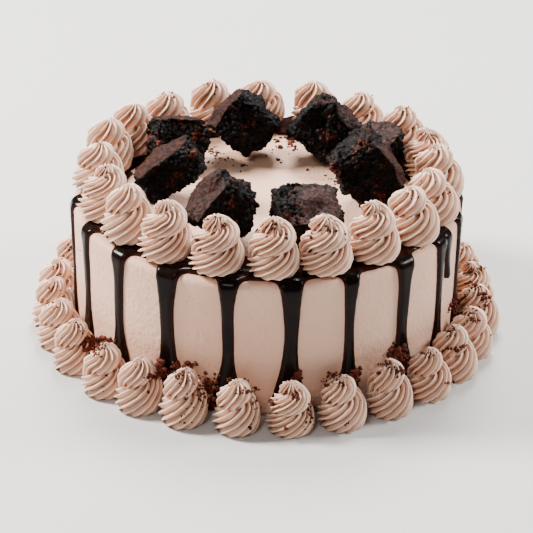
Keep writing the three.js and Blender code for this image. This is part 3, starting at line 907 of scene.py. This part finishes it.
# Crumbs sprinkled on a swirl: where the list above covers it, or else at least and up to how many more,
# and in millimetres how far they spread, their radius and the height they are dropped from.
COVERED, SPRINKLED, SPRINKLED_MORE = 4, 9, 14
SPRINKLE_SPREAD, SPRINKLE_SIZE, DROP_FROM = 3.6, 0.5, 200


def ragged_lump(middle, radius, rng):
    """One small crumb: its points and faces."""
    made = bmesh.new()
    bmesh.ops.create_icosphere(made, subdivisions=2 if radius > FINE_FROM else 1, radius=1)
    shift = Vector((rng.uniform(0, 99), rng.uniform(0, 99), 0))
    stretch = [rng.uniform(0.65, 1.25) for _ in range(3)]
    about_x = Matrix.Rotation(rng.uniform(0, FULL_PHASE), 3, "X")
    spin = about_x @ Matrix.Rotation(rng.uniform(0, FULL_PHASE), 3, "Z")
    points = []
    for v in made.verts:
        ragged = 1 + 0.50 * noise.noise(v.co * 1.3 + shift) + 0.25 * rng.uniform(-1, 1)
        points.append(middle + spin @ Vector([c * k * ragged * radius for c, k in zip(v.co, stretch)]))
    faces = [tuple(v.index for v in f.verts) for f in made.faces]
    made.free()
    return points, faces


def crumbs_piece(view, carriers):
    """Crumbs where the photograph shows them, and sprinkled on every swirl's top."""
    points, faces = [], []
    for piece in carriers:
        start = len(points)
        points += [v.co / MM for v in piece.data.vertices]
        faces += [tuple(start + i for i in p.vertices) for p in piece.data.polygons]
    tree = BVHTree.FromPolygons(points, faces)
    rng = random.Random(77)
    eye = view.matrix_world.translation / MM
    turn = view.matrix_world.to_3x3()
    half_view = view.data.sensor_width / view.data.lens / 2
    verts, polygons, tones = [], [], []

    def place(hit, normal, size, redder):
        radius = size * rng.uniform(*CRUMB_SIZES)
        made, made_faces = ragged_lump(hit + normal * radius * 0.25, radius, rng)
        start = len(verts)
        verts.extend(Vector((v.x, v.y, max(0.0, v.z))) for v in made)
        polygons.extend(tuple(start + i for i in f) for f in made_faces)
        tone = min(1.0, max(0.0, rng.gauss(redder, TONE_SPREAD)))
        tones.extend([tone] * len(made))

    for px, py, wide, tall, count, size in CRUMB_PLACES:
        for _ in range(count):
            x = (px + rng.gauss(0, 0.8) * wide + rng.uniform(-0.4, 0.4)) / PHOTO * 2 - 1
            y = 1 - (py + rng.gauss(0, 0.8) * tall + rng.uniform(-0.4, 0.4)) / PHOTO * 2
            ray = (turn @ Vector((x * half_view, y * half_view, -1))).normalized()
            hit, normal, _, _ = tree.ray_cast(eye, ray)
            dark = py < DARK_Y and DARK_X[0] < px < DARK_X[1]
            if hit is not None:
                place(hit, normal, size, DARK_TONE if dark else RED_TONE)
    for node in TOP_SWIRLS + FOOT_SWIRLS:
        low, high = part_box(node)
        middle = (low + high) / 2 / MM
        covered = middle.y < 20 and node in FOOT_SWIRLS or middle.y < -50
        for _ in range(COVERED if covered else SPRINKLED + rng.randrange(SPRINKLED_MORE)):
            x, y = middle.x + rng.gauss(0, SPRINKLE_SPREAD), middle.y + rng.gauss(0, SPRINKLE_SPREAD)
            hit, normal, _, _ = tree.ray_cast(Vector((x, y, DROP_FROM)), Vector((0, 0, -1)))
            if hit is not None and hit.z > 3:
                place(hit, normal, SPRINKLE_SIZE, SWIRL_TONE)
    piece = add_piece("crumbs", verts, polygons, CRUMBS, "brownie")
    add_attribute(piece, "rust", tones)
    return piece


# ---- stage, camera and light ----
# The floor's half side in metres.
FLOOR_HALF = 4
# The camera in millimetres, the lens and its sensor, and the roll in degrees.
CAMERA_EYE, CAMERA_TARGET = (0.12, -854.6, 486.8), (0.12, 0, 28.5)
LENS, SENSOR, ROLL = 122.1, 36, 0.877
# Area lights: name, place and size in metres, power in watts, colour. They shine on the cake's middle.
LIGHTS = [
    ("key", (-1.15, 0.22, 1.00), 0.34, 72, (1, 0.98, 0.95)),
    ("side", (1.20, 0.30, 0.85), 0.42, 28, (1, 1, 1)),
    ("over", (0.0, 0.90, 1.3), 0.55, 49, (1, 1, 1)),
    ("front", (-0.45, -1.15, 1.35), 0.45, 8, (1, 1, 1)),
]
LIT_POINT = Vector((0, 0, 0.05))
WORLD_COLOUR, WORLD_STRENGTH = (1.0, 0.985, 0.97, 1), 0.12


def stage():
    mesh = bpy.data.meshes.new("floor")
    corners = [(x * FLOOR_HALF, y * FLOOR_HALF, 0) for x, y in ((-1, -1), (1, -1), (1, 1), (-1, 1))]
    mesh.from_pydata(corners, [], [(0, 1, 2, 3)])
    s = Shader("floor_mat", Roughness=0.9)
    mesh.materials.append(s.finish(s.blend(s.noise(3, 2), (0.58, 0.565, 0.55), (0.61, 0.595, 0.58))))
    floor = bpy.data.objects.new("floor", mesh)
    bpy.context.scene.collection.objects.link(floor)


def camera():
    eye, target = Vector(CAMERA_EYE) * MM, Vector(CAMERA_TARGET) * MM
    data = bpy.data.cameras.new("camera")
    data.lens, data.sensor_width = LENS, SENSOR
    view = bpy.data.objects.new("camera", data)
    bpy.context.scene.collection.objects.link(view)
    aim = (target - eye).to_track_quat("-Z", "Y").to_matrix().to_4x4()
    view.matrix_world = Matrix.Translation(eye) @ aim @ Matrix.Rotation(math.radians(ROLL), 4, "Z")
    bpy.context.scene.camera = view
    return view


def area_light(name, place, size, power, colour):
    data = bpy.data.lights.new(name, "AREA")
    data.size, data.energy, data.color = size, power, colour
    light = bpy.data.objects.new(name, data)
    bpy.context.scene.collection.objects.link(light)
    light.location = place
    light.rotation_euler = (LIT_POINT - Vector(place)).to_track_quat("-Z", "Y").to_euler()


def lights():
    world = bpy.data.worlds.new("studio")
    world.use_nodes = True
    world.node_tree.nodes["Background"].inputs["Color"].default_value = WORLD_COLOUR
    world.node_tree.nodes["Background"].inputs["Strength"].default_value = WORLD_STRENGTH
    bpy.context.scene.world = world
    for light in LIGHTS:
        area_light(*light)


stage()
view = camera()
lights()

carriers = [cake_body(), glaze_piece()]
carriers += [swirl_piece(node, i, TOP_RING) for i, node in enumerate(TOP_SWIRLS)]
carriers += [swirl_piece(node, i, FOOT_RING) for i, node in enumerate(FOOT_SWIRLS)]
carriers += [brownie_piece(node, i) for i, node in enumerate(BROWNIES)]
crumbs_piece(view, carriers)
